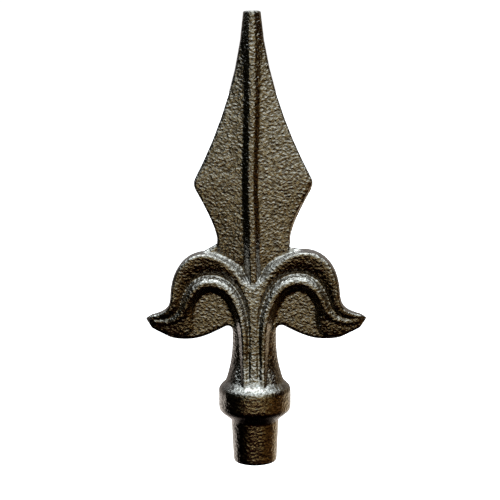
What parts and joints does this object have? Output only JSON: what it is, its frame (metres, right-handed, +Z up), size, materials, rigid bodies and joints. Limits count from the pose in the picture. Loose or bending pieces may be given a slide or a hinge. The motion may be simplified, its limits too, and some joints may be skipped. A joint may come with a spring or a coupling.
{
  "type": "railing spear head",
  "caption": "Cast-iron railing spear head: a tall ribbed blade above arched scroll leaves on flat webs, on a reeded neck, a round collar and a plain tapered spigot.",
  "frame": {"origin": "centre of the spigot's flat end face, where the casting meets the rail or the bar's socket", "axes": "+Z up the middle line from the spigot's end to the tip, front towards -Y, leaves spread along X, parting plane Y = 0"},
  "size_m": [0.1003, 0.0328, 0.204],
  "materials": {
    "lacquered_iron": "sand-cast grain under a dark bronze-black gloss lacquer"
  },
  "bodies": {
    "root": {"spear_head": "lacquered_iron"}
  },
  "joints": []
}
